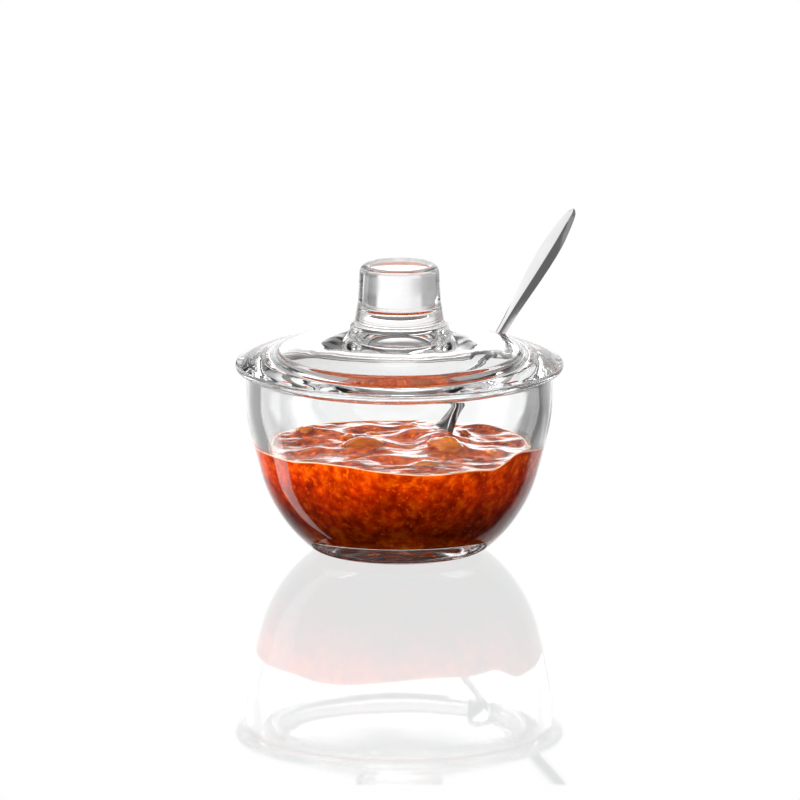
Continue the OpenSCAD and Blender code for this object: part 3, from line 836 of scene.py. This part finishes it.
def strip(nodes, links, angle, height):
    """1 inside the soft box to the left and 0 outside, soft at its edges."""
    lean = stage_math(nodes, links, "MULTIPLY", stage_math(nodes, links, "ARCSINE", height), STRIP["lean"])
    inside = stage_math(nodes, links, "SUBTRACT", angle, lean)
    half = STRIP["soft"] / 2
    inner = (math.radians(STRIP["inner"] + way * half) for way in (-1, 1))
    outer = (math.radians(STRIP["outer"] + way * half) for way in (1, -1))
    return stage_math(nodes, links, "MULTIPLY", map_range(nodes, links, inside, *inner),
                      map_range(nodes, links, angle, *outer))


def soft_light(nodes, links, direction):
    """Brightness of the soft light from a direction, as a share of BRIGHTEST."""
    dot = nodes.new("ShaderNodeVectorMath")
    dot.operation = "DOT_PRODUCT"
    links.new(direction, dot.inputs[0])
    dot.inputs[1].default_value = SOFT_FROM
    toward = map_range(nodes, links, dot.outputs["Value"], -1, 1)
    toward = stage_math(nodes, links, "POWER", toward, SOFT_POWER)
    return stage_math(nodes, links, "MULTIPLY_ADD", toward, *(v / BRIGHTEST for v in SOFT_GAIN))


def make_world():
    world = bpy.data.worlds.new("studio")
    bpy.context.scene.world = world
    world.use_nodes = True
    nodes, links = world.node_tree.nodes, world.node_tree.links
    direction = nodes.new("ShaderNodeTexCoord").outputs["Generated"]
    path = nodes.new("ShaderNodeLightPath").outputs
    height, angle, (far, low, high, direct, direct_high) = profile(
        nodes, links, direction, FAR, LOW, HIGH, DIRECT, DIRECT_HIGH)

    again = mixed(nodes, links, ramp(nodes, links, height, TO_HIGH), low, high)
    again = mixed(nodes, links, strip(nodes, links, angle, height), again, grey(STRIP["light"] / BRIGHTEST))
    again = mixed(nodes, links, 1, again, ramp(nodes, links, height, RISE_REFLECTED), "MULTIPLY")
    once = mixed(nodes, links, ramp(nodes, links, height, TO_DIRECT_HIGH), direct, direct_high)
    twice = stage_math(nodes, links, "GREATER_THAN", path["Glossy Depth"], REFLECTED_TWICE)
    mirrored = mixed(nodes, links, twice, once, again)

    through = mixed(nodes, links, 1, far, ramp(nodes, links, height, RISE_THROUGH), "MULTIPLY")
    upward = stage_math(nodes, links, "GREATER_THAN", height, 0)
    gain = stage_math(nodes, links, "MULTIPLY_ADD", upward, THROUGH_GAIN - 1, 1)
    through = mixed(nodes, links, 1, through, gain, "MULTIPLY")

    light = mixed(nodes, links, path["Is Transmission Ray"], mirrored, through)
    is_soft = stage_math(nodes, links, "GREATER_THAN", path["Diffuse Depth"], AFTER_DIFFUSE)
    light = mixed(nodes, links, is_soft, light, soft_light(nodes, links, direction))
    light = mixed(nodes, links, path["Is Camera Ray"], light, grey(WHITE_LEVEL / BRIGHTEST))
    links.new(light, nodes["Background"].inputs["Color"])
    nodes["Background"].inputs["Strength"].default_value = BRIGHTEST


STAGE_R = 6
STAGE_SIDES = 96
STAGE_DROP = 0.0002
# What the floor mirrors: a little for the camera, but for its front, which starts at a level line, most of it
# for reflections, but for what lies before the pot, and least for light that has come through glass
FLOOR_SHINE = (0.222, 0.213, 0.213, 1)
SHINE_START = -0.356
SHINE_FULL = -0.352
MIRROR_START = -0.09
MIRROR_FULL = -0.05
FLOOR_MIRROR = grey(0.9)
FLOOR_THROUGH = grey(0.05)
# And its own light: white for the camera, grey on the jam, none in reflections
FLOOR_WHITE = (0.745, 0.755, 0.755, 1)
FLOOR_SOFT = grey(0.4)
BLACK = grey(0)


def make_floor():
    bm = bmesh.new()
    bmesh.ops.create_circle(bm, cap_ends=True, radius=STAGE_R / MM, segments=STAGE_SIDES)
    material = bpy.data.materials.new("floor")
    material.use_nodes = True
    nodes, links = material.node_tree.nodes, material.node_tree.links
    nodes.clear()
    place = nodes.new("ShaderNodeNewGeometry").outputs["Position"]
    path = nodes.new("ShaderNodeLightPath").outputs
    along = split_vector(nodes, links, place)["Y"]
    front = map_range(nodes, links, along, SHINE_START, SHINE_FULL)

    _, _, (near, far) = profile(nodes, links, place, NEAR, FAR)
    length = nodes.new("ShaderNodeVectorMath")
    length.operation = "LENGTH"
    links.new(place, length.inputs[0])
    distance = length.outputs["Value"]
    through = mixed(nodes, links, map_range(nodes, links, distance, NEAR_END, FAR_START), near, far)
    through = mixed(nodes, links, 1, through, grey(BRIGHTEST), "MULTIPLY")
    under = stage_math(nodes, links, "LESS_THAN", distance, UNDER_END)
    through = mixed(nodes, links, under, through, grey(UNDER))
    light = mixed(nodes, links, path["Is Transmission Ray"], BLACK, through)
    is_soft = stage_math(nodes, links, "GREATER_THAN", path["Diffuse Depth"], AFTER_DIFFUSE)
    light = mixed(nodes, links, is_soft, light, FLOOR_SOFT)
    pale = mixed(nodes, links, front, grey(WHITE_LEVEL), FLOOR_WHITE)
    emission = nodes.new("ShaderNodeEmission")
    links.new(mixed(nodes, links, path["Is Camera Ray"], light, pale), emission.inputs["Color"])

    mirror = mixed(nodes, links, map_range(nodes, links, along, MIRROR_START, MIRROR_FULL), BLACK, FLOOR_MIRROR)
    mirror = mixed(nodes, links, path["Is Transmission Ray"], mirror, FLOOR_THROUGH)
    sheen = mixed(nodes, links, front, BLACK, FLOOR_SHINE)
    shine = nodes.new("ShaderNodeBsdfGlossy")
    shine.inputs["Roughness"].default_value = 0.03
    links.new(mixed(nodes, links, path["Is Camera Ray"], mirror, sheen), shine.inputs["Color"])

    both = nodes.new("ShaderNodeAddShader")
    output = nodes.new("ShaderNodeOutputMaterial")
    links.new(emission.outputs["Emission"], both.inputs[0])
    links.new(shine.outputs["BSDF"], both.inputs[1])
    links.new(both.outputs["Shader"], output.inputs["Surface"])
    floor = finish_mesh("floor", bm, material)
    floor.location.z = -STAGE_DROP


TOP_LIGHT = {"place": (-0.35, 0.2, 0.65), "aim": (0, 0, 0.04), "size": (0.5, 0.35), "power": 1}


def make_lights():
    """A large soft light above, to the left and a little behind, which isn't seen itself."""
    data = bpy.data.lights.new("top_softbox", "AREA")
    data.shape, data.energy = "RECTANGLE", TOP_LIGHT["power"]
    data.size, data.size_y = TOP_LIGHT["size"]
    light = bpy.data.objects.new("top_softbox", data)
    bpy.context.scene.collection.objects.link(light)
    light.location = TOP_LIGHT["place"]
    light.rotation_euler = (light.location - Vector(TOP_LIGHT["aim"])).to_track_quat("Z", "Y").to_euler()
    light.visible_camera = False
    light.visible_glossy = False


def set_light_paths():
    """Glass inside glass needs long light paths. Colours are shown as they are."""
    cycles = bpy.context.scene.cycles
    cycles.max_bounces = 24
    cycles.transmission_bounces = 20
    cycles.glossy_bounces = 12
    cycles.diffuse_bounces = 4
    cycles.blur_glossy = 0.5
    bpy.context.scene.view_settings.view_transform = "Standard"


make_camera()
make_world()
make_floor()
make_lights()
set_light_paths()
make_bowl()
make_lid()
make_jam()
make_fruit()
make_spoon()
